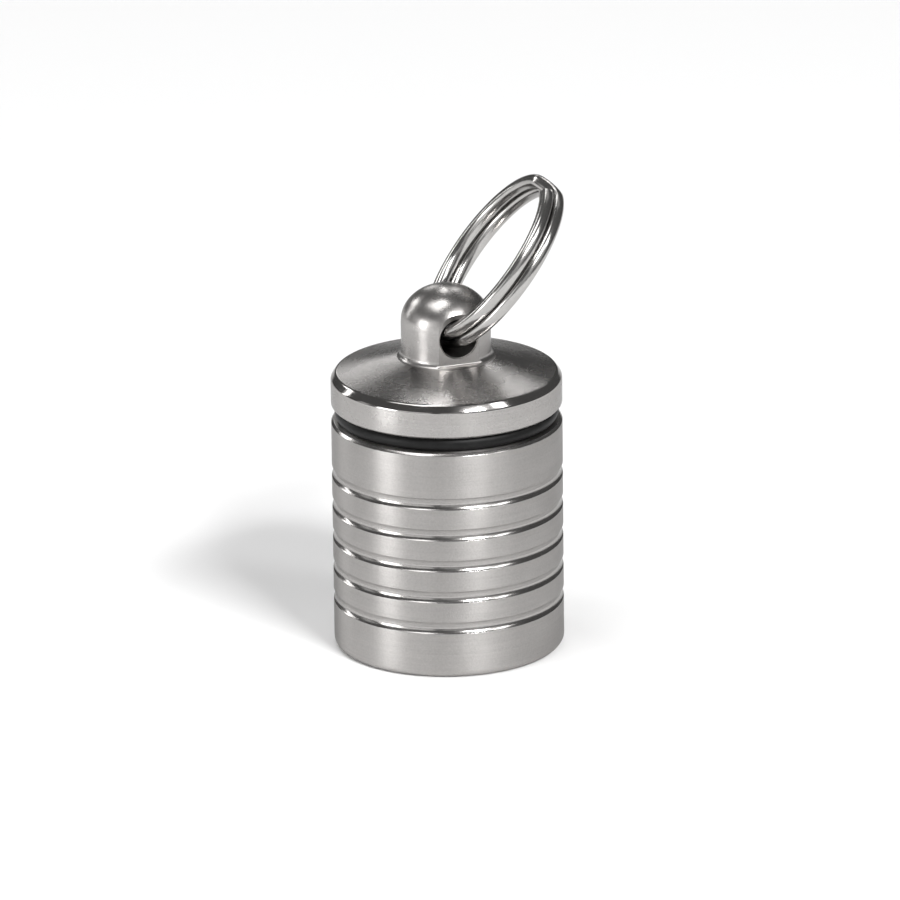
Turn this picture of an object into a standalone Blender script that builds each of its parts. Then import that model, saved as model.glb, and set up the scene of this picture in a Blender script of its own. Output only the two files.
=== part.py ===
"""Keychain pill fob: a turned metal canister closed by a screw cap, with a rubber seal between
them and a split ring through the cap's neck.

Frame: metres, +Z up along the canister's axis, origin at the centre of the flat base.
The cross hole through the neck runs along Y, and the split ring leans towards +X.
"""

import math

import bmesh
import bpy
from mathutils import Matrix, Vector

MM = 0.001
COLLECTION = "pill_fob"
MERGE_DISTANCE = 0.00001
CUT_SPARE = 2.0  # how far a cutter runs past what it cuts, in millimetres

# Body, all in millimetres
BODY_R = 12.0

# Facets: round the axis, and along each kind of curve
STEPS = 48
FILLET_STEPS = 3
GROOVE_STEPS = 4
DOME_STEPS = 9
SEAL_STEPS = 12
HOLE_STEPS = 32
WIRE_BEVEL = 3

# Canister
RIM_Z = 24.45
RIM_CHAMFER = 0.25
BASE_FILLET = 0.8
FLOOR_Z = 2.0
FLOOR_FILLET = 0.8
BORE_R = 9.35
MOUTH_R = 10.05
GROOVES = 5
GROOVE_TOP_Z = 19.0
GROOVE_PITCH = 3.38
GROOVE_WIDTH = 1.27
GROOVE_DEPTH = 0.3

# Seal
SEAL_R = 0.79
SEAL_OUTER_R = 11.62

# Cap
CAP_Z = 26.08
CAP_EDGE = 0.22
CAP_SIDE_TOP_Z = 28.9
LIP_R = 11.5
LIP_Z = 29.6
CONE_R = 5.32
CONE_Z = 31.2
NECK_R = 4.66
NECK_FOOT_Z = 31.9
DOME_Z = 35.04
APEX_Z = 38.9
FLAT_Y = 4.12
FLAT_Z = 31.4
HOLE_R = 2.0
HOLE_Z = 34.2

# Plug under the cap
SPIGOT_R = 9.9
SPIGOT_Z = 24.75
RELIEF_R = 8.95
RELIEF_Z = 23.9
PLUG_R = 9.15
PLUG_Z = 18.9
PLUG_CHAMFER = 0.5
RECESS_R = 7.6
RECESS_Z = 26.4

# Screw thread, right-handed, shared by the plug's ridge and the canister's groove
THREAD_PITCH = 1.5
THREAD_FLANK = math.radians(30)
RIDGE_R = 9.85
RIDGE_CREST = 0.25
RIDGE_Z = 19.75
RIDGE_TURNS = 2.6
THREAD_R = 10.0
THREAD_PLAY = 0.06
THREAD_LEAD_IN = 0.25
THREAD_RUNOUT = 0.12
THREAD_RUNOUT_HEIGHT = 0.05
THREAD_OVERLAP = 0.3

# Split ring: two turns of round wire
WIRE_R = 0.69
STRAND_PITCH = 1.42
RING_R = 9.4
RING_SAG = 0.9
RING_LEAN = math.radians(39)
RING_SKEW = math.radians(7.5)
JOG_SPAN = math.radians(24)
END_GAP = math.radians(5)
WIRE_STEP = math.radians(7.5)

# Colours
STEEL = (0.56, 0.54, 0.51)
RUBBER = (0.02, 0.02, 0.02)
WIRE = (0.62, 0.61, 0.59)


def new_material(name, color, roughness, metallic):
    """A Principled material of one colour."""
    material = bpy.data.materials.new(name)
    material.use_nodes = True
    shader = material.node_tree.nodes["Principled BSDF"]
    shader.inputs["Base Color"].default_value = (*color, 1.0)
    shader.inputs["Roughness"].default_value = roughness
    shader.inputs["Metallic"].default_value = metallic
    return material


def new_collection(name):
    collection = bpy.data.collections.new(name)
    bpy.context.scene.collection.children.link(collection)
    return collection


def arc(centre, radii, start, end, count):
    """Points (r, z) on an elliptical arc, both ends included; angles in degrees from +R towards +Z."""
    points = []
    for i in range(count + 1):
        angle = math.radians(start + (end - start) * i / count)
        points.append((centre[0] + radii[0] * math.cos(angle), centre[1] + radii[1] * math.sin(angle)))
    return points


def turned(name, outline, collection, material=None):
    """A turned solid from its outline, which starts and ends on the Z axis."""
    mesh = bpy.data.meshes.new(name)
    verts = [(r * MM, 0, z * MM) for r, z in outline]
    mesh.from_pydata(verts, [(i, i + 1) for i in range(len(verts) - 1)], [])
    body = bpy.data.objects.new(name, mesh)
    collection.objects.link(body)
    if material:
        mesh.materials.append(material)
    screw = body.modifiers.new("Turn", "SCREW")
    screw.axis = "Z"
    screw.angle = 2 * math.pi
    screw.steps = screw.render_steps = STEPS
    screw.use_merge_vertices = True
    screw.merge_threshold = MERGE_DISTANCE
    screw.use_smooth_shade = True
    return body


def cutter(name, bm, collection):
    """A hidden helper solid for a Boolean."""
    mesh = bpy.data.meshes.new(name)
    bm.to_mesh(mesh)
    bm.free()
    body = bpy.data.objects.new(name, mesh)
    collection.objects.link(body)
    body.hide_render = True
    body.display_type = "WIRE"
    return body


def boolean(body, other, operation):
    modifier = body.modifiers.new(other.name, "BOOLEAN")
    modifier.object = other
    modifier.operation = operation
    modifier.solver = "EXACT"


def helical_bar(root_r, crest_r, crest_width, first_turn, last_turn):
    """A closed bar of trapezoid section along the thread's helix, sinking to its root at both ends."""
    bm = bmesh.new()
    first = round(first_turn * STEPS)
    last = round(last_turn * STEPS)
    runout = THREAD_RUNOUT * STEPS
    rings = []
    for i in range(first, last + 1):
        angle = 2 * math.pi * i / STEPS
        height = min(1.0, (i - first) / runout, (last - i) / runout)
        top_r = root_r + max(THREAD_RUNOUT_HEIGHT, height * (crest_r - root_r))
        crest = crest_width / 2
        foot = crest + (crest_r - root_r) * math.tan(THREAD_FLANK)
        top = foot + (crest - foot) * (top_r - root_r) / (crest_r - root_r)
        z = RIDGE_Z + THREAD_PITCH * i / STEPS
        ring = []
        for r, dz in ((root_r, -foot), (top_r, -top), (top_r, top), (root_r, foot)):
            place = Vector((r * math.cos(angle), r * math.sin(angle), z + dz)) * MM
            ring.append(bm.verts.new(place))
        rings.append(ring)
    for ring, following in zip(rings, rings[1:]):
        for k in range(4):
            after = (k + 1) % 4
            bm.faces.new((ring[k], following[k], following[after], ring[after]))
    bm.faces.new(rings[0])
    bm.faces.new(reversed(rings[-1]))
    bmesh.ops.recalc_face_normals(bm, faces=bm.faces)
    return bm


def box_cutter(low, high):
    bm = bmesh.new()
    size = [(b - a) * MM for a, b in zip(low, high)]
    centre = [(a + b) / 2 * MM for a, b in zip(low, high)]
    bmesh.ops.create_cube(bm, size=1.0, matrix=Matrix.Translation(centre) @ Matrix.Diagonal((*size, 1.0)))
    return bm


def canister_outline():
    """From the inside of the floor, up the bore, over the rim and down the grooved outside."""
    outline = [(0, FLOOR_Z)]
    outline += arc((BORE_R - FLOOR_FILLET, FLOOR_Z + FLOOR_FILLET), (FLOOR_FILLET, FLOOR_FILLET), -90, 0, FILLET_STEPS)
    outline += [(BORE_R, RIM_Z - (MOUTH_R - BORE_R)), (MOUTH_R, RIM_Z)]
    outline += [(BODY_R - RIM_CHAMFER, RIM_Z), (BODY_R, RIM_Z - RIM_CHAMFER)]
    half = GROOVE_WIDTH / 2
    radius = (half**2 + GROOVE_DEPTH**2) / (2 * GROOVE_DEPTH)
    reach = math.degrees(math.asin(half / radius))
    for i in range(GROOVES):
        centre = (BODY_R - GROOVE_DEPTH + radius, GROOVE_TOP_Z - GROOVE_PITCH * i)
        outline += arc(centre, (radius, radius), 180 - reach, 180 + reach, GROOVE_STEPS)
    outline += arc((BODY_R - BASE_FILLET, BASE_FILLET), (BASE_FILLET, BASE_FILLET), 0, -90, FILLET_STEPS)
    outline += [(0, 0)]
    return outline


def cap_outline():
    """From the dome's top down the outside, round the plug and up into its recess."""
    outline = arc((0, DOME_Z), (NECK_R, APEX_Z - DOME_Z), 90, 0, DOME_STEPS)
    fillet = (CONE_R - NECK_R, NECK_FOOT_Z - CONE_Z)
    outline += arc((CONE_R, NECK_FOOT_Z), fillet, 180, 270, FILLET_STEPS)
    outline += [(LIP_R, LIP_Z), (BODY_R, CAP_SIDE_TOP_Z)]
    outline += [(BODY_R, CAP_Z + CAP_EDGE), (BODY_R - CAP_EDGE, CAP_Z)]
    outline += [(SPIGOT_R, CAP_Z), (SPIGOT_R, SPIGOT_Z), (RELIEF_R, SPIGOT_Z), (RELIEF_R, RELIEF_Z)]
    outline += [(PLUG_R, RELIEF_Z - (PLUG_R - RELIEF_R)), (PLUG_R, PLUG_Z + PLUG_CHAMFER)]
    outline += [(PLUG_R - PLUG_CHAMFER, PLUG_Z), (RECESS_R, PLUG_Z), (RECESS_R, RECESS_Z), (0, RECESS_Z)]
    return outline


def make_canister(parts, cutters, material):
    """The grooved cup that holds the pills, with an internal thread at its mouth."""
    canister = turned("canister", canister_outline(), parts, material)
    crest = RIDGE_CREST + 2 * THREAD_PLAY
    last_turn = 1 + (RIM_Z - RIDGE_Z) / THREAD_PITCH
    groove = helical_bar(BORE_R - THREAD_OVERLAP, THREAD_R, crest, -THREAD_LEAD_IN, last_turn)
    boolean(canister, cutter("thread_groove", groove, cutters), "DIFFERENCE")
    return canister


def make_seal(parts, material):
    """The O-ring that shows as a black line between the canister and the cap."""
    bpy.ops.mesh.primitive_torus_add(
        major_segments=STEPS,
        minor_segments=SEAL_STEPS,
        major_radius=(SEAL_OUTER_R - SEAL_R) * MM,
        minor_radius=SEAL_R * MM,
        location=(0, 0, (RIM_Z + CAP_Z) / 2 * MM),
    )
    seal = bpy.context.object
    seal.name = seal.data.name = "o_ring"
    seal.data.materials.append(material)
    seal.data.shade_smooth()
    for owner in list(seal.users_collection):
        owner.objects.unlink(seal)
    parts.objects.link(seal)
    return seal


def make_cap(parts, cutters, material):
    """The cap with its threaded plug, and the flattened neck with the cross hole."""
    cap = turned("cap", cap_outline(), parts, material)
    ridge = helical_bar(PLUG_R - THREAD_OVERLAP, RIDGE_R, RIDGE_CREST, 0, RIDGE_TURNS)
    boolean(cap, cutter("thread_ridge", ridge, cutters), "UNION")
    for side, label in ((-1, "front_flat"), (1, "rear_flat")):
        near, far = sorted((side * FLAT_Y, side * BODY_R))
        flat = box_cutter((-BODY_R, near, FLAT_Z), (BODY_R, far, APEX_Z + CUT_SPARE))
        boolean(cap, cutter(label, flat, cutters), "DIFFERENCE")
    hole = bmesh.new()
    bmesh.ops.create_cone(
        hole,
        cap_ends=True,
        segments=HOLE_STEPS,
        radius1=HOLE_R * MM,
        radius2=HOLE_R * MM,
        depth=2 * (NECK_R + CUT_SPARE) * MM,
        matrix=Matrix.Translation((0, 0, HOLE_Z * MM)) @ Matrix.Rotation(math.pi / 2, 4, "X"),
    )
    boolean(cap, cutter("cross_hole", hole, cutters), "DIFFERENCE")
    return cap


def ring_route():
    """Centre line of the split ring's wire, from the axis of the cross hole.

    Two turns lie side by side. Opposite the hole the wire crosses from one turn to the other,
    between its two ends.
    """
    up = Vector((math.sin(RING_LEAN), 0, math.cos(RING_LEAN)))
    flat_normal = Vector((math.cos(RING_LEAN), 0, -math.sin(RING_LEAN)))
    across = Vector((0, math.cos(RING_SKEW), 0)) + math.sin(RING_SKEW) * flat_normal
    normal = math.cos(RING_SKEW) * flat_normal - Vector((0, math.sin(RING_SKEW), 0))
    centre = (RING_R - RING_SAG) * up
    full = 2 * math.pi
    length = 2 * full - JOG_SPAN - 2 * END_GAP
    jog_start = full - JOG_SPAN - END_GAP
    count = round(length / WIRE_STEP)
    route = []
    for i in range(count + 1):
        travelled = length * i / count
        crossed = min(1.0, max(0.0, (travelled - jog_start) / JOG_SPAN))
        offset = STRAND_PITCH * (0.5 - crossed * crossed * (3 - 2 * crossed))
        angle = travelled + END_GAP / 2 + JOG_SPAN / 2
        around = math.cos(angle) * up + math.sin(angle) * across
        route.append(centre + RING_R * around + offset * normal)
    return route


def make_split_ring(parts, material):
    """The wire ring, whose origin is on the axis of the cross hole."""
    curve = bpy.data.curves.new("split_ring", "CURVE")
    curve.dimensions = "3D"
    curve.bevel_depth = WIRE_R * MM
    curve.bevel_resolution = WIRE_BEVEL
    curve.use_fill_caps = True
    curve.resolution_u = 1
    curve.render_resolution_u = 0
    route = ring_route()
    spline = curve.splines.new("POLY")
    spline.points.add(len(route) - 1)
    for point, place in zip(spline.points, route):
        point.co = (*(place * MM), 1.0)
    curve.materials.append(material)
    ring = bpy.data.objects.new("split_ring", curve)
    ring.location = (0, 0, HOLE_Z * MM)
    parts.objects.link(ring)
    return ring


def main():
    for leftover in list(bpy.data.objects):
        bpy.data.objects.remove(leftover)
    parts = new_collection(COLLECTION)
    cutters = new_collection("cutters")
    steel = new_material("turned_steel", STEEL, 0.32, 1.0)
    cap_steel = new_material("cap_steel", STEEL, 0.27, 1.0)
    rubber = new_material("black_rubber", RUBBER, 0.6, 0.0)
    wire = new_material("spring_steel_wire", WIRE, 0.15, 1.0)
    make_canister(parts, cutters, steel)
    make_seal(parts, rubber)
    make_cap(parts, cutters, cap_steel)
    make_split_ring(parts, wire)


main()
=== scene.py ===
"""Looks of the metal keychain pill fob: satin turned metal, black rubber seal and a ring of drawn wire."""

import math

import bmesh
import bpy
from mathutils import Matrix, Vector


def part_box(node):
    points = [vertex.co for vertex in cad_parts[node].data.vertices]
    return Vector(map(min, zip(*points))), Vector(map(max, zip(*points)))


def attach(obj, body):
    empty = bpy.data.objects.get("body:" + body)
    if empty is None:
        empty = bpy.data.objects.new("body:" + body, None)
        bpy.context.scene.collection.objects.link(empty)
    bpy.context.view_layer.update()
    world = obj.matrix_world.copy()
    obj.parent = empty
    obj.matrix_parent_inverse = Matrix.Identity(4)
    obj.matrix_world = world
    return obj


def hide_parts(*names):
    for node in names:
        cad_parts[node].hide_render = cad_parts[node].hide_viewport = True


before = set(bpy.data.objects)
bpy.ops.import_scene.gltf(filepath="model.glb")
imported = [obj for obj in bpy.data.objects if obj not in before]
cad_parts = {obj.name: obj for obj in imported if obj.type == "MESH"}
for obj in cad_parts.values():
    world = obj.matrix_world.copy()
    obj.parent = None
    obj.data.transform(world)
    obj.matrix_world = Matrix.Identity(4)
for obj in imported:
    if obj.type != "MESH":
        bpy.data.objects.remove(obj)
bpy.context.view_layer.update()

MM = 0.001
MERGE_DISTANCE = 0.0000005  # metres, as is the next
SHORTEST_EDGE = 0.0000002
SHARP_ANGLE = math.radians(35)


def from_frame(length):
    """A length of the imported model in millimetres, without its rounding error."""
    return round(length / MM, 3)


# ---------------------------------------------------------------- sizes, in millimetres
canister_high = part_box("canister")[1]
cap_low, cap_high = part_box("cap")
seal_low, seal_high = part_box("o_ring")

BODY_R = from_frame(canister_high.x)
COLUMNS = 256  # points round a full turn
CORNER_STEPS = 6
MOST_OF_SIDE = 0.49  # share of a side that one rounded corner may take
FINE_ROUND = 0.08
SMALL_ROUND = 0.1
EDGE_ROUND = 0.12

# canister
RIM_Z = from_frame(canister_high.z)
RIM_CHAMFER = 0.25
BASE_FILLET = 0.8
BASE_FILLET_STEPS = 8
BASE_BORDER = 1.6  # a narrow ring of faces that keeps the flat base evenly shaded
FLOOR_Z = 2.0
FLOOR_FILLET = 0.8
BORE_R = 9.35
MOUTH_R = 10.05
GROOVES = 5
GROOVE_TOP_Z = 19.0  # middle of the highest groove
GROOVE_PITCH = 3.38
GROOVE_WIDTH = 1.27
GROOVE_DEPTH = 0.3
GROOVE_STEPS = 14
GROOVE_LIP = 0.05

# seal
SEAL_R = from_frame((seal_high.z - seal_low.z) / 2)
SEAL_OUTER_R = from_frame(seal_high.x)
SEAL_COLUMNS = 40
SEAL_FLASH = 0.012

# cap, what shows
CAP_Z = 26.08
CAP_EDGE = 0.22
CAP_SIDE_TOP_Z = 28.9
LIP_R = 11.5
LIP_Z = 29.6
LIP_ROUND = 0.5
CONE_R = 5.32
CONE_Z = 31.2
NECK_R = 4.66
DOME_Z = 35.04
APEX_Z = from_frame(cap_high.z)
FLAT_Y = 4.12
FLAT_Z = 31.4  # the ledge at the foot of a flat
FLAT_EDGE = 0.09
FLAT_CORNER = 0.14
HOLE_R = 2.0
HOLE_Z = 34.2
HOLE_CHAMFER = 0.14
HOLE_ROUND = 0.06
HOLE_COLUMNS = 96
LEDGE_EDGE = 0.05
CONE_SLOPE = math.atan2(CONE_Z - LIP_Z, LIP_R - CONE_R)
FOOT_FILLET = 0.7
FOOT_R = NECK_R + FOOT_FILLET
FOOT_Z = LIP_Z + (LIP_R - FOOT_R) * math.tan(CONE_SLOPE) + FOOT_FILLET / math.cos(CONE_SLOPE)
FOOT_END = (FOOT_R - FOOT_FILLET * math.sin(CONE_SLOPE), FOOT_Z - FOOT_FILLET * math.cos(CONE_SLOPE))

# rows and columns of points on the neck
ROUND_COLUMNS = 84
EDGE_COLUMNS = 4
FLAT_COLUMNS = 16
DOME_ROWS = 31
FLAT_TOP_ROWS = 18
NECK_ROWS = 4
FOOT_ROWS = 3
LEDGE_ROWS = 4
FILLET_ROWS = 5

# cap, the plug inside the canister
SPIGOT_R = 9.9
SPIGOT_Z = 24.75
RELIEF_R = 8.95
RELIEF_Z = 23.9
RELIEF_ROUND = 0.05
PLUG_R = 9.15
PLUG_Z = from_frame(cap_low.z)
PLUG_CHAMFER = 0.5
RECESS_R = 7.6
RECESS_Z = 26.4
RECESS_FILLET = 0.5

# thread: RIDGE is the one on the plug, THREAD_R the root of the one in the bore
THREAD_PITCH = 1.5
THREAD_FLANK = math.radians(30)
RIDGE_R = 9.85
RIDGE_CREST = 0.25
RIDGE_Z = 19.75
RIDGE_TURNS = 2.6
THREAD_R = 10.0
THREAD_PLAY = 0.06
THREAD_LEAD_IN = 0.25  # turns
THREAD_RUNOUT = 0.12  # turns
THREAD_RUNOUT_HEIGHT = 0.05
THREAD_OVERLAP = 0.3
THREAD_STEPS = 96  # points in one turn

# split ring
WIRE_R = 0.68
WIRE_SQUARE = 2.5  # 2 is a round section, more is squarer
WIRE_COLUMNS = 32
WIRE_STEPS = 560
WIRE_TIP = 0.1
WIRE_TIP_SHAPE = ((0.0, 0.8), (0.4, 0.93), (1.0, 1.0))  # share of the tip's length, of the wire's radius
WIRE_TIP_STEPS = 3  # steps of the wire that each tip takes the place of
STRAND_PITCH = 1.42
RING_R = 9.4
RING_SAG = 0.9
RING_LEAN = math.radians(39)
RING_SKEW = math.radians(7.5)
JOG_SPAN = math.radians(24)  # where the wire crosses from one side to the other
END_GAP = math.radians(5)


# ---------------------------------------------------------------- outlines and meshes
def full_turn(count):
    """That many angles, evenly spaced round a full turn."""
    return [2 * math.pi * k / count for k in range(count)]


def arc(centre, radius, start, end, count):
    """Points (r, z) on a round arc, both ends included; angles in degrees from +R towards +Z."""
    points = []
    for i in range(count + 1):
        angle = math.radians(start + (end - start) * i / count)
        points.append((centre[0] + radius * math.cos(angle), centre[1] + radius * math.sin(angle)))
    return points


def softened(corners):
    """An outline through (r, z, radius) corners, each rounded by its radius; 0 leaves it sharp."""
    outline = []
    last = len(corners) - 1
    for i, (r, z, radius) in enumerate(corners):
        here = Vector((r, z))
        if radius == 0 or i in (0, last):
            outline.append((r, z))
            continue
        back = Vector(corners[i - 1][:2]) - here
        ahead = Vector(corners[i + 1][:2]) - here
        half = back.angle(ahead) / 2
        reach = min(radius / math.tan(half), MOST_OF_SIDE * back.length, MOST_OF_SIDE * ahead.length)
        start = here + back.normalized() * reach
        end = here + ahead.normalized() * reach
        for k in range(CORNER_STEPS + 1):
            t = k / CORNER_STEPS
            point = start * (1 - t) ** 2 + here * (2 * t * (1 - t)) + end * t**2
            outline.append((point.x, point.y))
    return outline


def smooth(mesh):
    """Smooth shading, but sharp where faces meet at more than SHARP_ANGLE."""
    mesh.shade_smooth()
    mesh.set_sharp_from_angle(angle=SHARP_ANGLE)


def mesh_object(name, bm, material):
    mesh = bpy.data.meshes.new(name)
    bm.to_mesh(mesh)
    bm.free()
    mesh.materials.append(material)
    smooth(mesh)
    piece = bpy.data.objects.new(name, mesh)
    bpy.context.scene.collection.objects.link(piece)
    return piece


def skin_rows(bm, rows):
    """Quads between closed rows of points; a row may be one point."""
    made = []
    for row in rows:
        made.append([bm.verts.new(Vector(point) * MM) for point in row])
    for upper, lower in zip(made, made[1:]):
        count = max(len(upper), len(lower))
        for k in range(count):
            after = (k + 1) % count
            if len(upper) == 1:
                bm.faces.new((upper[0], lower[k], lower[after]))
            elif len(lower) == 1:
                bm.faces.new((upper[k], lower[0], upper[after]))
            else:
                bm.faces.new((upper[k], lower[k], lower[after], upper[after]))
    bmesh.ops.remove_doubles(bm, verts=bm.verts, dist=MERGE_DISTANCE)
    bmesh.ops.dissolve_degenerate(bm, edges=bm.edges, dist=SHORTEST_EDGE)
    bmesh.ops.recalc_face_normals(bm, faces=bm.faces)


def circle(r, z, angles):
    """A row of points round the Z axis, or one point on it."""
    if r == 0:
        return [(0, 0, z)]
    return [(r * math.cos(a), r * math.sin(a), z) for a in angles]


def close_tube(bm, rings, closed):
    """Faces between rings of vertices; an open tube gets a cap at each end."""
    pairs = list(zip(rings, rings[1:]))
    if closed:
        pairs.append((rings[-1], rings[0]))
    for ring, following in pairs:
        for k in range(len(ring)):
            after = (k + 1) % len(ring)
            bm.faces.new((ring[k], following[k], following[after], ring[after]))
    if not closed:
        bm.faces.new(rings[0])
        bm.faces.new(reversed(rings[-1]))
    bmesh.ops.recalc_face_normals(bm, faces=bm.faces)


def helical_bar(root_r, crest_r, crest_width, first_turn, last_turn):
    """A closed bar of trapezoid section along the thread's helix, sinking to its root at both ends."""
    bm = bmesh.new()
    first = round(first_turn * THREAD_STEPS)
    last = round(last_turn * THREAD_STEPS)
    runout = THREAD_RUNOUT * THREAD_STEPS
    rings = []
    for i in range(first, last + 1):
        angle = 2 * math.pi * i / THREAD_STEPS
        height = min(1.0, (i - first) / runout, (last - i) / runout)
        top_r = root_r + max(THREAD_RUNOUT_HEIGHT, height * (crest_r - root_r))
        crest = crest_width / 2
        foot = crest + (crest_r - root_r) * math.tan(THREAD_FLANK)
        top = foot + (crest - foot) * (top_r - root_r) / (crest_r - root_r)
        z = RIDGE_Z + THREAD_PITCH * i / THREAD_STEPS
        ring = []
        for r, dz in ((root_r, -foot), (top_r, -top), (top_r, top), (root_r, foot)):
            ring.append(bm.verts.new(Vector((r * math.cos(angle), r * math.sin(angle), z + dz)) * MM))
        rings.append(ring)
    close_tube(bm, rings, closed=False)
    return bm


def carve(piece, bm, operation):
    """Joins a shape to a piece or cuts it away, for good."""
    mesh = bpy.data.meshes.new("tool")
    bm.to_mesh(mesh)
    bm.free()
    tool = bpy.data.objects.new("tool", mesh)
    bpy.context.scene.collection.objects.link(tool)
    modifier = piece.modifiers.new("carve", "BOOLEAN")
    modifier.object = tool
    modifier.operation = operation
    modifier.solver = "EXACT"
    graph = bpy.context.evaluated_depsgraph_get()
    carved = bpy.data.meshes.new_from_object(piece.evaluated_get(graph), depsgraph=graph)
    piece.modifiers.clear()
    old = piece.data
    piece.data = carved
    carved.name = piece.name
    bpy.data.meshes.remove(old)
    bpy.data.objects.remove(tool)
    bpy.data.meshes.remove(mesh)
    smooth(carved)


# ---------------------------------------------------------------- canister
def canister_outline():
    """From the inside of the floor, up the bore, over the rim and down the grooved outside."""
    half = GROOVE_WIDTH / 2
    radius = (half**2 + GROOVE_DEPTH**2) / (2 * GROOVE_DEPTH)
    reach = math.degrees(math.asin(half / radius))
    corners = [(0, FLOOR_Z, 0), (BORE_R, FLOOR_Z, FLOOR_FILLET)]
    corners += [(BORE_R, RIM_Z - (MOUTH_R - BORE_R), SMALL_ROUND), (MOUTH_R, RIM_Z, FINE_ROUND)]
    corners += [(BODY_R - RIM_CHAMFER, RIM_Z, EDGE_ROUND), (BODY_R, RIM_Z - RIM_CHAMFER, EDGE_ROUND)]
    for i in range(GROOVES):
        centre = (BODY_R - GROOVE_DEPTH + radius, GROOVE_TOP_Z - GROOVE_PITCH * i)
        curve = arc(centre, radius, 180 - reach, 180 + reach, GROOVE_STEPS)
        corners += [(r, z, GROOVE_LIP if k in (0, GROOVE_STEPS) else 0) for k, (r, z) in enumerate(curve)]
    foot = arc((BODY_R - BASE_FILLET, BASE_FILLET), BASE_FILLET, 0, -90, BASE_FILLET_STEPS)
    corners += [(r, z, 0) for r, z in foot]
    corners += [(BODY_R - BASE_BORDER, 0, 0), (0, 0, 0)]
    return softened(corners)


def make_canister(material):
    """The grooved and bored canister, with its thread cut into the bore."""
    bm = bmesh.new()
    angles = full_turn(COLUMNS)
    skin_rows(bm, [circle(r, z, angles) for r, z in canister_outline()])
    piece = mesh_object("grooved_canister", bm, material)
    crest = RIDGE_CREST + 2 * THREAD_PLAY
    last_turn = 1 + (RIM_Z - RIDGE_Z) / THREAD_PITCH
    thread = helical_bar(BORE_R - THREAD_OVERLAP, THREAD_R, crest, -THREAD_LEAD_IN, last_turn)
    carve(piece, thread, "DIFFERENCE")
    return piece


# ---------------------------------------------------------------- cap
def section(r, limit, z):
    """One slice of the neck: a circle of radius r with a flat on each side at y = limit, as a row."""
    edge = FLAT_EDGE
    if r > limit:
        x = math.sqrt((r - edge) ** 2 - (limit - edge) ** 2)
        y = limit - edge
    else:
        x = 0.0
        y = r - edge
    turn = math.atan2(y, x)
    half = []
    for k in range(ROUND_COLUMNS + 1):
        angle = -turn + 2 * turn * k / ROUND_COLUMNS
        half.append((r * math.cos(angle), r * math.sin(angle)))
    for k in range(1, EDGE_COLUMNS + 1):
        angle = turn + (math.pi / 2 - turn) * k / EDGE_COLUMNS
        half.append((x + edge * math.cos(angle), y + edge * math.sin(angle)))
    for k in range(1, FLAT_COLUMNS + 1):
        half.append((x - 2 * x * k / FLAT_COLUMNS, y + edge))
    for k in range(1, EDGE_COLUMNS):
        angle = math.pi / 2 + (math.pi / 2 - turn) * k / EDGE_COLUMNS
        half.append((-x + edge * math.cos(angle), y + edge * math.sin(angle)))
    return [(px, py, z) for px, py in half] + [(-px, -py, z) for px, py in half]


def neck_rows():
    """The dome and the neck with its flats, down to where the neck starts to widen."""
    rise = APEX_Z - DOME_Z
    rows = [[(0, 0, APEX_Z)]]
    flat_start = math.acos(FLAT_Y / NECK_R)
    for k in range(1, DOME_ROWS):
        angle = math.pi / 2 + (flat_start - math.pi / 2) * k / DOME_ROWS
        rows.append(section(NECK_R * math.cos(angle), FLAT_Y, DOME_Z + rise * math.sin(angle)))
    widest = math.sqrt((NECK_R - FLAT_EDGE) ** 2 - (FLAT_Y - FLAT_EDGE) ** 2)
    for k in range(FLAT_TOP_ROWS + 1):
        half_width = widest * k / FLAT_TOP_ROWS
        r = FLAT_EDGE + math.hypot(half_width, FLAT_Y - FLAT_EDGE)
        rows.append(section(r, FLAT_Y, DOME_Z + rise * math.sqrt(max(0.0, 1 - (r / NECK_R) ** 2))))
    for k in range(1, NECK_ROWS + 1):
        rows.append(section(NECK_R, FLAT_Y, DOME_Z + (FOOT_Z - DOME_Z) * k / NECK_ROWS))
    return rows


def fillet_r(z):
    """Radius of the fillet between neck and cone at height z."""
    return FOOT_R - math.sqrt(max(0.0, FOOT_FILLET**2 - (FOOT_Z - z) ** 2))


def foot_rows():
    """The foot of the neck, where the flats end in a ledge and the fillet runs out on the cone.
    Returns its rows and the directions of their points, which the rows below share."""
    rows = []
    for k in range(1, FOOT_ROWS + 1):
        z = FOOT_Z + (FLAT_Z + FLAT_CORNER - FOOT_Z) * k / FOOT_ROWS
        rows.append(section(fillet_r(z), FLAT_Y, z))
    for k in range(1, LEDGE_ROWS + 1):
        turn = math.pi / 2 * k / LEDGE_ROWS
        z = FLAT_Z + FLAT_CORNER * (1 - math.sin(turn))
        rows.append(section(fillet_r(z), FLAT_Y + FLAT_CORNER * (1 - math.cos(turn)), z))
    outer = fillet_r(FLAT_Z)
    angles = [math.atan2(y, x) for x, y, z in rows[-1]]
    ledge = []
    for (x, y, z), angle in zip(rows[-1], angles):
        r = max(math.hypot(x, y), outer - LEDGE_EDGE)
        ledge.append((r * math.cos(angle), r * math.sin(angle), FLAT_Z))
    rows.append(ledge)
    start = math.asin((FOOT_Z - FLAT_Z + LEDGE_EDGE) / FOOT_FILLET)
    end = math.pi / 2 - CONE_SLOPE
    for k in range(FILLET_ROWS + 1):
        turn = start + (end - start) * k / FILLET_ROWS
        r = FOOT_R - FOOT_FILLET * math.cos(turn)
        rows.append(circle(r, FOOT_Z - FOOT_FILLET * math.sin(turn), angles))
    return rows, angles


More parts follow.
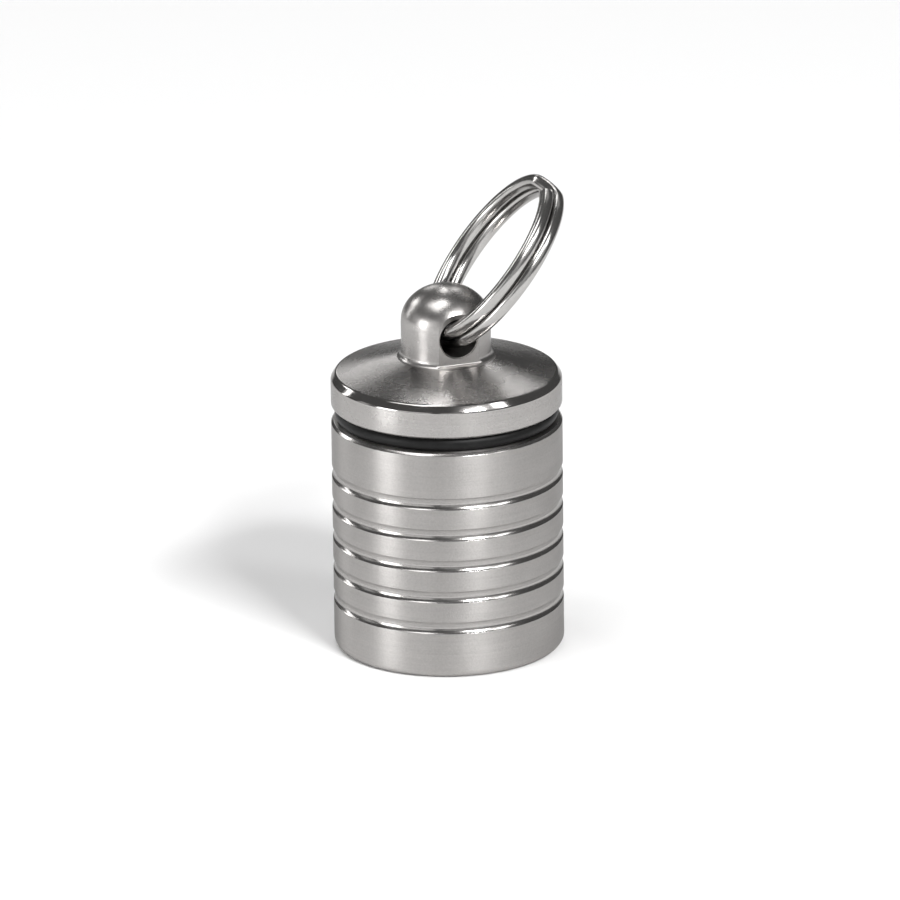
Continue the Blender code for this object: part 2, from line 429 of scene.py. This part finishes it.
def make_cap(material):
    """Neck, cone and hollow plug as one skin, with the thread joined on and the cross hole cut through."""
    upper = neck_rows()
    foot, angles = foot_rows()
    corners = [(*FOOT_END, 0), (LIP_R, LIP_Z, LIP_ROUND), (BODY_R, CAP_SIDE_TOP_Z, LIP_ROUND)]
    corners += [(BODY_R, CAP_Z + CAP_EDGE, EDGE_ROUND), (BODY_R - CAP_EDGE, CAP_Z, SMALL_ROUND)]
    corners += [(SPIGOT_R, CAP_Z, SMALL_ROUND), (SPIGOT_R, SPIGOT_Z, FINE_ROUND)]
    corners += [(RELIEF_R, SPIGOT_Z, SMALL_ROUND), (RELIEF_R, RELIEF_Z, FINE_ROUND)]
    corners += [(PLUG_R, RELIEF_Z - (PLUG_R - RELIEF_R), RELIEF_ROUND)]
    corners += [(PLUG_R, PLUG_Z + PLUG_CHAMFER, FINE_ROUND), (PLUG_R - PLUG_CHAMFER, PLUG_Z, FINE_ROUND)]
    corners += [(RECESS_R, PLUG_Z, EDGE_ROUND), (RECESS_R, RECESS_Z, RECESS_FILLET), (0, RECESS_Z, 0)]
    lower = [circle(r, z, angles) for r, z in softened(corners)[1:]]
    bm = bmesh.new()
    skin_rows(bm, upper + foot + lower)
    piece = mesh_object("screw_cap", bm, material)
    carve(piece, helical_bar(PLUG_R - THREAD_OVERLAP, RIDGE_R, RIDGE_CREST, 0, RIDGE_TURNS), "UNION")
    carve(piece, hole_tool(), "DIFFERENCE")
    return piece


def hole_tool():
    """The cross hole's cutter along Y, flared at both flats."""
    flare = HOLE_R + HOLE_CHAMFER
    end = FLAT_Y + HOLE_CHAMFER
    corners = [(0, end, 0), (flare + HOLE_CHAMFER, end, 0), (flare, FLAT_Y, 0)]
    corners += [(HOLE_R, FLAT_Y - HOLE_CHAMFER, HOLE_ROUND)]
    outline = softened(corners)
    outline += [(r, -y) for r, y in reversed(outline)]
    angles = full_turn(HOLE_COLUMNS)
    bm = bmesh.new()
    skin_rows(bm, [circle(r, z, angles) for r, z in outline])
    place = Matrix.Translation((0, 0, HOLE_Z * MM)) @ Matrix.Rotation(math.pi / 2, 4, "X")
    bmesh.ops.transform(bm, matrix=place, verts=bm.verts)
    return bm


# ---------------------------------------------------------------- seal
def make_seal(material):
    """A moulded O-ring with the faint line of its mould at its widest and its narrowest."""
    centre_r = SEAL_OUTER_R - SEAL_R
    centre_z = (RIM_Z + CAP_Z) / 2
    bm = bmesh.new()
    loop = []
    for k, turn in enumerate(full_turn(SEAL_COLUMNS)):
        flash = SEAL_FLASH if k in (0, SEAL_COLUMNS // 2) else 0.0
        r = SEAL_R - SEAL_FLASH + flash
        loop.append((centre_r + r * math.cos(turn), centre_z + r * math.sin(turn)))
    rings = []
    for angle in full_turn(COLUMNS):
        points = [Vector((r * math.cos(angle), r * math.sin(angle), z)) for r, z in loop]
        rings.append([bm.verts.new(point * MM) for point in points])
    close_tube(bm, rings, closed=True)
    return mesh_object("rubber_seal", bm, material)


# ---------------------------------------------------------------- split ring
def ring_frame():
    """The split ring's own frame: X from its centre away from the hole, Z along its axis."""
    lean = Matrix.Rotation(RING_LEAN, 4, "Y") @ Matrix.Rotation(-math.pi / 2, 4, "Y")
    skew = Matrix.Rotation(-RING_SKEW, 4, "X")
    up = Vector((math.sin(RING_LEAN), 0, math.cos(RING_LEAN)))
    centre = ((RING_R - RING_SAG) * up + Vector((0, 0, HOLE_Z))) * MM
    return Matrix.Translation(centre) @ lean @ skew


def make_split_ring(material):
    """Two turns of flattened wire that cross from one side to the other between the wire's ends."""
    full = 2 * math.pi
    length = 2 * full - JOG_SPAN - 2 * END_GAP
    jog_start = full - JOG_SPAN - END_GAP
    tip = WIRE_TIP / RING_R
    power = 2 / WIRE_SQUARE
    stations = [(tip * share, size) for share, size in WIRE_TIP_SHAPE]
    last_step = WIRE_STEPS - WIRE_TIP_STEPS
    stations += [(length * i / WIRE_STEPS, 1.0) for i in range(WIRE_TIP_STEPS, last_step + 1)]
    stations += [(length - tip * share, size) for share, size in reversed(WIRE_TIP_SHAPE)]
    bm = bmesh.new()
    rings = []
    for travelled, size in stations:
        crossed = min(1.0, max(0.0, (travelled - jog_start) / JOG_SPAN))
        offset = STRAND_PITCH * (crossed * crossed * (3 - 2 * crossed) - 0.5)
        angle = travelled + END_GAP / 2 + JOG_SPAN / 2
        ring = []
        for turn in full_turn(WIRE_COLUMNS):
            out = math.copysign(abs(math.cos(turn)) ** power, math.cos(turn)) * WIRE_R * size
            side = math.copysign(abs(math.sin(turn)) ** power, math.sin(turn)) * WIRE_R * size
            r = RING_R + out
            ring.append(bm.verts.new(Vector((r * math.cos(angle), r * math.sin(angle), offset + side)) * MM))
        rings.append(ring)
    close_tube(bm, rings, closed=False)
    bmesh.ops.transform(bm, matrix=ring_frame(), verts=bm.verts)
    return mesh_object("key_split_ring", bm, material)


# ---------------------------------------------------------------- materials
STEEL = (0.415, 0.402, 0.392)
# steel darkened on the neck's flats: painted shade that sets them off from the round neck
FLAT_SHADE_STEEL = (0.31, 0.3, 0.292)
# steel darkened inside the cross hole: painted shade of the hole's depth
HOLE_SHADE_STEEL = (0.2, 0.193, 0.186)
WIRE = (0.46, 0.45, 0.44)
EDGE_TINT = (0.65, 0.65, 0.65, 1.0)
RUBBER_SHADES = (0.003, 0.009)
RUBBER_ROUGHNESS = (0.38, 0.6)
FLOOR_COLOR = (0.93, 0.93, 0.93, 1.0)

# colour, roughness, its spread, depth of the turning marks, depth of the grain, anisotropy
FINISHES = {
    "canister_steel_look": (STEEL, 0.4, 0.05, 1.0, 1.8, 0.85),
    "cap_steel_look": (STEEL, 0.27, 0.05, 0.9, 1.3, 0.85),
    "neck_steel_look": (STEEL, 0.3, 0.05, 0.5, 1.0, 0.75),
    "polished_dome_look": (STEEL, 0.29, 0.05, 0.0, 0.8, 0.0),
    # the neck's flats: the darker colour is painted shade, the gloss is that of milling
    "milled_flat_painted_shade_look": (FLAT_SHADE_STEEL, 0.36, 0.05, 0.2, 1.2, 0.0),
    # inside the cross hole: the dark colour is painted shade, the roughness is that of drilling
    "drilled_hole_painted_shade_look": (HOLE_SHADE_STEEL, 0.45, 0.05, 0.5, 0.5, 0.0),
    "bright_cut_look": (STEEL, 0.2, 0.03, 0.2, 0.3, 0.4),
    "cap_lip_look": (STEEL, 0.12, 0.02, 0.1, 0.06, 0.3),
    "ring_wire_look": (WIRE, 0.2, 0.05, 0.3, 0.12, 0.0),
}

# noise scales are per metre, and each range is (lowest, highest)
BUMP_DISTANCE = 0.00001
LINE_SCALE = 9000.0
LINE_DRIFT = 1.5
BAND_SCALE = 4200.0
BAND_DRIFT = 1.2
BAND_DEPTH = 0.6
SPECK_SCALE = 5000.0
PATCH_SCALE = 260.0
PATCH_RANGE = (0.3, 0.7)
PATCH_SHADE = 0.4
SPECK_SHADE = 0.6
MARK_SHADE = 0.3
CONTRAST = 0.25
SKIN_SCALE = 4000.0
DUST_SCALE = 700.0
DUST_RANGE = (0.45, 0.75)


def node_maker(material):
    """Returns a function that adds a node and sets or links its inputs; i0 is the first input, and so on."""
    tree = material.node_tree

    def add(kind, settings=None, **inputs):
        node = tree.nodes.new(kind)
        for key, value in (settings or {}).items():
            setattr(node, key, value)
        for key, value in inputs.items():
            socket = node.inputs[int(key[1:])] if key[0] == "i" and key[1:].isdigit() else node.inputs[key]
            if isinstance(value, bpy.types.NodeSocket):
                tree.links.new(value, socket)
            else:
                socket.default_value = value
        return node

    return add


def math_node(add, operation, *values):
    inputs = {f"i{k}": value for k, value in enumerate(values)}
    return add("ShaderNodeMath", {"operation": operation}, **inputs).outputs[0]


def map_range(add, value, source, target):
    """Carries a value from the source range to the target range."""
    node = add("ShaderNodeMapRange", Value=value)
    for name, limit in zip(("From Min", "From Max", "To Min", "To Max"), (*source, *target)):
        node.inputs[name].default_value = limit
    return node.outputs[0]


def place_on(add, axis_frame):
    """Where a point lies on its object, or in axis_frame for a piece whose axis isn't the object's Z."""
    place = add("ShaderNodeTexCoord").outputs["Object"]
    if axis_frame is None:
        return place
    turned = add("ShaderNodeMapping", {"vector_type": "TEXTURE"}, Vector=place)
    turned.inputs["Location"].default_value = axis_frame.translation
    turned.inputs["Rotation"].default_value = axis_frame.to_euler()
    return turned.outputs[0]


def turning_marks(add, place, drift, scale, detail):
    """Marks left by turning: noise that changes slowly round the Z axis and fast along radius and height."""
    xyz = add("ShaderNodeSeparateXYZ", Vector=place).outputs
    flat = add("ShaderNodeCombineXYZ", X=xyz[0], Y=xyz[1]).outputs[0]
    unit = add("ShaderNodeVectorMath", {"operation": "NORMALIZE"}, i0=flat).outputs[0]
    unit_xyz = add("ShaderNodeSeparateXYZ", Vector=unit).outputs
    x = math_node(add, "MULTIPLY", unit_xyz[0], drift)
    y = math_node(add, "MULTIPLY", unit_xyz[1], drift)
    z = math_node(add, "MULTIPLY", xyz[2], scale)
    vector = add("ShaderNodeCombineXYZ", X=x, Y=y, Z=z).outputs[0]
    length = add("ShaderNodeVectorMath", {"operation": "LENGTH"}, i0=flat).outputs["Value"]
    radius = math_node(add, "MULTIPLY", length, scale)
    settings = {"noise_dimensions": "4D"}
    noise = add("ShaderNodeTexNoise", settings, Vector=vector, W=radius, Scale=1.0, Detail=detail)
    return noise.outputs[0]


def turned_metal(name, axis_frame=None):
    """Satin metal off the lathe: fine turning marks, grain, and patches that vary the gloss."""
    color, roughness, spread, marks, grain, anisotropy = FINISHES[name]
    material = bpy.data.materials.new(name)
    material.use_nodes = True
    add = node_maker(material)
    link = material.node_tree.links.new
    shader = material.node_tree.nodes["Principled BSDF"]
    place = place_on(add, axis_frame)
    lines = turning_marks(add, place, LINE_DRIFT, LINE_SCALE, detail=3.0)
    bands = turning_marks(add, place, BAND_DRIFT, BAND_SCALE, detail=2.0)
    specks = add("ShaderNodeTexNoise", Vector=place, Scale=SPECK_SCALE, Detail=2.0, Roughness=0.6).outputs[0]
    patches = add("ShaderNodeTexNoise", Vector=place, Scale=PATCH_SCALE, Detail=4.0, Roughness=0.6).outputs[0]

    height = math_node(add, "MULTIPLY", specks, grain)
    height = math_node(add, "MULTIPLY_ADD", lines, marks, height)
    height = math_node(add, "MULTIPLY_ADD", bands, marks * BAND_DEPTH, height)
    bump = add("ShaderNodeBump", Strength=1.0, Distance=BUMP_DISTANCE, Height=height)
    link(bump.outputs[0], shader.inputs["Normal"])

    gloss = map_range(add, patches, PATCH_RANGE, (roughness - spread, roughness + spread))
    ripple = math_node(add, "SUBTRACT", lines, 0.5)
    link(math_node(add, "MULTIPLY_ADD", ripple, spread, gloss), shader.inputs["Roughness"])

    shade = math_node(add, "MULTIPLY", specks, SPECK_SHADE)
    shade = math_node(add, "MULTIPLY_ADD", patches, PATCH_SHADE, shade)
    streaks = math_node(add, "ADD", bands, lines)
    shade = math_node(add, "MULTIPLY_ADD", streaks, marks * MARK_SHADE, shade)
    shade = math_node(add, "SUBTRACT", shade, marks * MARK_SHADE)
    tint = add("ShaderNodeMix", {"data_type": "RGBA"})
    link(shade, tint.inputs["Factor"])
    tint.inputs["A"].default_value = (*[c * (1 - CONTRAST) for c in color], 1.0)
    tint.inputs["B"].default_value = (*[c * (1 + CONTRAST) for c in color], 1.0)
    link(tint.outputs["Result"], shader.inputs["Base Color"])

    shader.inputs["Metallic"].default_value = 1.0
    shader.inputs["Specular Tint"].default_value = EDGE_TINT
    shader.inputs["Anisotropic"].default_value = anisotropy
    shader.inputs["Anisotropic Rotation"].default_value = 0.25
    tangent = add("ShaderNodeTangent", {"direction_type": "RADIAL", "axis": "Z"})
    link(tangent.outputs[0], shader.inputs["Tangent"])
    return material


def rubber_material():
    """Black moulded rubber with a fine skin, and dust that lightens and dulls it in places."""
    material = bpy.data.materials.new("seal_rubber_look")
    material.use_nodes = True
    add = node_maker(material)
    link = material.node_tree.links.new
    shader = material.node_tree.nodes["Principled BSDF"]
    place = place_on(add, None)
    skin = add("ShaderNodeTexNoise", Vector=place, Scale=SKIN_SCALE, Detail=3.0).outputs[0]
    dust = add("ShaderNodeTexNoise", Vector=place, Scale=DUST_SCALE, Detail=5.0, Roughness=0.7).outputs[0]
    bump = add("ShaderNodeBump", Strength=0.6, Distance=BUMP_DISTANCE, Height=skin)
    link(bump.outputs[0], shader.inputs["Normal"])
    shade = map_range(add, dust, DUST_RANGE, RUBBER_SHADES)
    grey = add("ShaderNodeCombineColor", Red=shade, Green=shade, Blue=shade)
    link(grey.outputs[0], shader.inputs["Base Color"])
    link(map_range(add, dust, (0.0, 1.0), RUBBER_ROUGHNESS), shader.inputs["Roughness"])
    shader.inputs["Specular IOR Level"].default_value = 0.25
    return material


def floor_material():
    material = bpy.data.materials.new("pale_floor")
    material.use_nodes = True
    shader = material.node_tree.nodes["Principled BSDF"]
    shader.inputs["Base Color"].default_value = FLOOR_COLOR
    shader.inputs["Roughness"].default_value = 0.9
    shader.inputs["Specular IOR Level"].default_value = 0.1
    return material


# ---------------------------------------------------------------- where another finish shows
# Each test takes a face's centre in millimetres. A margin is how far the finish reaches past the edge.
OUTSIDE_R = MOUTH_R + 1.0
GROOVE_MARGIN = 0.03
FLAT_MARGIN = 0.01
LIP_MARGIN_INSIDE = 0.2
LIP_MARGIN_BELOW = 0.18
LIP_MARGIN_ABOVE = 0.05


def is_groove_or_rim_edge(x, y, z):
    """The lower half of a groove, or the outer edge of the canister's rim."""
    below = (GROOVE_TOP_Z - z) % GROOVE_PITCH
    groove = BASE_FILLET < z < GROOVE_TOP_Z and below < GROOVE_WIDTH / 2 + GROOVE_MARGIN
    return math.hypot(x, y) > OUTSIDE_R and (groove or z > RIM_Z - RIM_CHAMFER)


def is_neck(x, y, z):
    return z > FOOT_Z


def is_dome_or_foot(x, y, z):
    """The dome over the neck, or the fillet at its foot."""
    foot = FOOT_END[1] < z < FOOT_Z and math.hypot(x, y) < FOOT_END[0]
    return z > DOME_Z or foot


# where the painted shade inside the cross hole goes
def is_cross_hole(x, y, z):
    return math.hypot(x, z - HOLE_Z) < HOLE_R and abs(y) < FLAT_Y


# where the painted shade on the neck's flats goes
def is_neck_flat(x, y, z):
    below_top = z < DOME_Z + (APEX_Z - DOME_Z) / 2
    return math.hypot(x, y) < NECK_R and abs(y) > FLAT_Y - FLAT_MARGIN and below_top


def is_hole_edge(x, y, z):
    from_hole = math.hypot(x, z - HOLE_Z)
    return HOLE_R < from_hole < HOLE_R + HOLE_CHAMFER and FLAT_Y - HOLE_CHAMFER < abs(y) < FLAT_Y


def is_cap_lip(x, y, z):
    """The chamfer round the cap, and a little of the side and the cone next to it."""
    level = CAP_SIDE_TOP_Z - LIP_MARGIN_BELOW < z < LIP_Z + LIP_MARGIN_ABOVE
    return math.hypot(x, y) > LIP_R - LIP_MARGIN_INSIDE and level


def paint_where(piece, material, test):
    """Gives the faces whose centre passes the test another material."""
    piece.data.materials.append(material)
    index = len(piece.data.materials) - 1
    for face in piece.data.polygons:
        x, y, z = face.center / MM
        if test(x, y, z):
            face.material_index = index


# ---------------------------------------------------------------- camera, light and floor
VIEW_AZIMUTH = math.radians(-19.2)
VIEW_TARGET = Vector((0.274, -0.095, 20.83)) * MM
VIEW_PLACE = Vector((-305.4, -878.0, 340.4)) * MM
VIEW_ROLL = math.radians(-0.67)
VIEW_LENS = 378.87
LIGHT_TARGET = Vector((0, 0, 0.02))  # metres, as is the next
FLOOR_SIZE = 6.0


def make_camera():
    data = bpy.data.cameras.new("camera")
    data.lens = VIEW_LENS
    data.sensor_width = 36.0
    data.clip_start = 0.05
    data.clip_end = 20.0
    camera = bpy.data.objects.new("camera", data)
    bpy.context.scene.collection.objects.link(camera)
    aim = (VIEW_TARGET - VIEW_PLACE).to_track_quat("-Z", "Y").to_matrix().to_4x4()
    camera.matrix_world = Matrix.Translation(VIEW_PLACE) @ aim @ Matrix.Rotation(VIEW_ROLL, 4, "Z")
    bpy.context.scene.camera = camera


def studio_offset(azimuth, elevation, distance):
    """The way from the light's target; azimuth 0 is towards the camera, positive to its right."""
    turn = VIEW_AZIMUTH + math.radians(azimuth)
    rise = math.radians(elevation)
    flat = distance * math.cos(rise)
    return Vector((flat * math.sin(turn), -flat * math.cos(turn), distance * math.sin(rise)))


def softbox(name, azimuth, elevation, distance, width, height, power):
    """A rectangular area light that faces the object and that the camera can't see."""
    light = bpy.data.lights.new(name, "AREA")
    light.shape = "RECTANGLE"
    light.size = width
    light.size_y = height
    light.energy = power
    lamp = bpy.data.objects.new(name, light)
    lamp.location = LIGHT_TARGET + studio_offset(azimuth, elevation, distance)
    lamp.visible_camera = False
    lamp.rotation_euler = (LIGHT_TARGET - lamp.location).to_track_quat("-Z", "Y").to_euler()
    bpy.context.scene.collection.objects.link(lamp)


# name, azimuth from the camera's, elevation, distance (m), width (m), height (m), power (W)
SOFTBOXES = (
    ("overhead", -60, 82, 1.2, 0.4, 0.4, 2.6),
    ("key", 32, 43, 1.2, 0.34, 0.16, 11.2),
    ("strip_right", 64, 42, 1.2, 0.2, 0.4, 1.8),
    ("low_right", 50, 34, 1.2, 0.5, 0.8, 0.6),
    ("front_left", -32, 15, 1.2, 0.7, 0.5, 1.0),
    ("front_right", 15, 15, 1.2, 0.9, 0.5, 0.6),
    ("strip_left", -60, 9, 0.4, 0.14, 0.15, 0.5),
    ("high_left", -65, 66, 1.2, 0.7, 0.25, 1.9),
    ("side_left", -90, 15, 1.2, 0.3, 0.5, 0.25),
    ("edge_left", -120, 15, 1.2, 0.1, 0.5, 0.95),
    ("rear_left", -132, 28, 1.2, 0.25, 0.25, 1.2),
    ("rear", -169, 22, 1.2, 0.2, 0.4, 0.5),
    ("rear_high", -178, 47, 1.2, 0.08, 0.4, 0.85),
    ("rear_strip", 167, 38, 1.2, 0.08, 0.3, 0.35),
    ("rear_right", 150, 42, 1.2, 0.5, 0.5, 0.3),
)
WORLD_LIGHT = 0.12


def make_studio():
    world = bpy.data.worlds.new("studio")
    bpy.context.scene.world = world
    world.use_nodes = True
    background = world.node_tree.nodes["Background"]
    background.inputs["Color"].default_value = (1.0, 1.0, 1.0, 1.0)
    background.inputs["Strength"].default_value = WORLD_LIGHT
    for light in SOFTBOXES:
        softbox(*light)
    bpy.ops.mesh.primitive_plane_add(size=FLOOR_SIZE)
    floor = bpy.context.object
    floor.name = "floor"
    floor.data.materials.append(floor_material())


# ---------------------------------------------------------------- assembly
CAP_FINISHES = (
    ("neck_steel_look", is_neck),
    ("polished_dome_look", is_dome_or_foot),
    # the hole and the flats get painted shade in their colour
    ("drilled_hole_painted_shade_look", is_cross_hole),
    ("milled_flat_painted_shade_look", is_neck_flat),
    ("cap_lip_look", is_cap_lip),
)


def main():
    bright = turned_metal("bright_cut_look")
    canister = make_canister(turned_metal("canister_steel_look"))
    paint_where(canister, bright, is_groove_or_rim_edge)
    cap = make_cap(turned_metal("cap_steel_look"))
    for finish, test in CAP_FINISHES:
        paint_where(cap, turned_metal(finish), test)
    paint_where(cap, bright, is_hole_edge)
    seal = make_seal(rubber_material())
    ring = make_split_ring(turned_metal("ring_wire_look", ring_frame()))
    for piece, node, body, slot in (
        (canister, "canister", "canister", "canister_steel"),
        (cap, "cap", "cap", "cap_steel"),
        (seal, "o_ring", "seal", "seal_rubber"),
        (ring, "split_ring", "key_ring", "ring_wire"),
    ):
        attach(piece, body)
        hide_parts(node)
    make_camera()
    make_studio()
    bpy.context.scene.view_settings.view_transform = "Standard"


main()
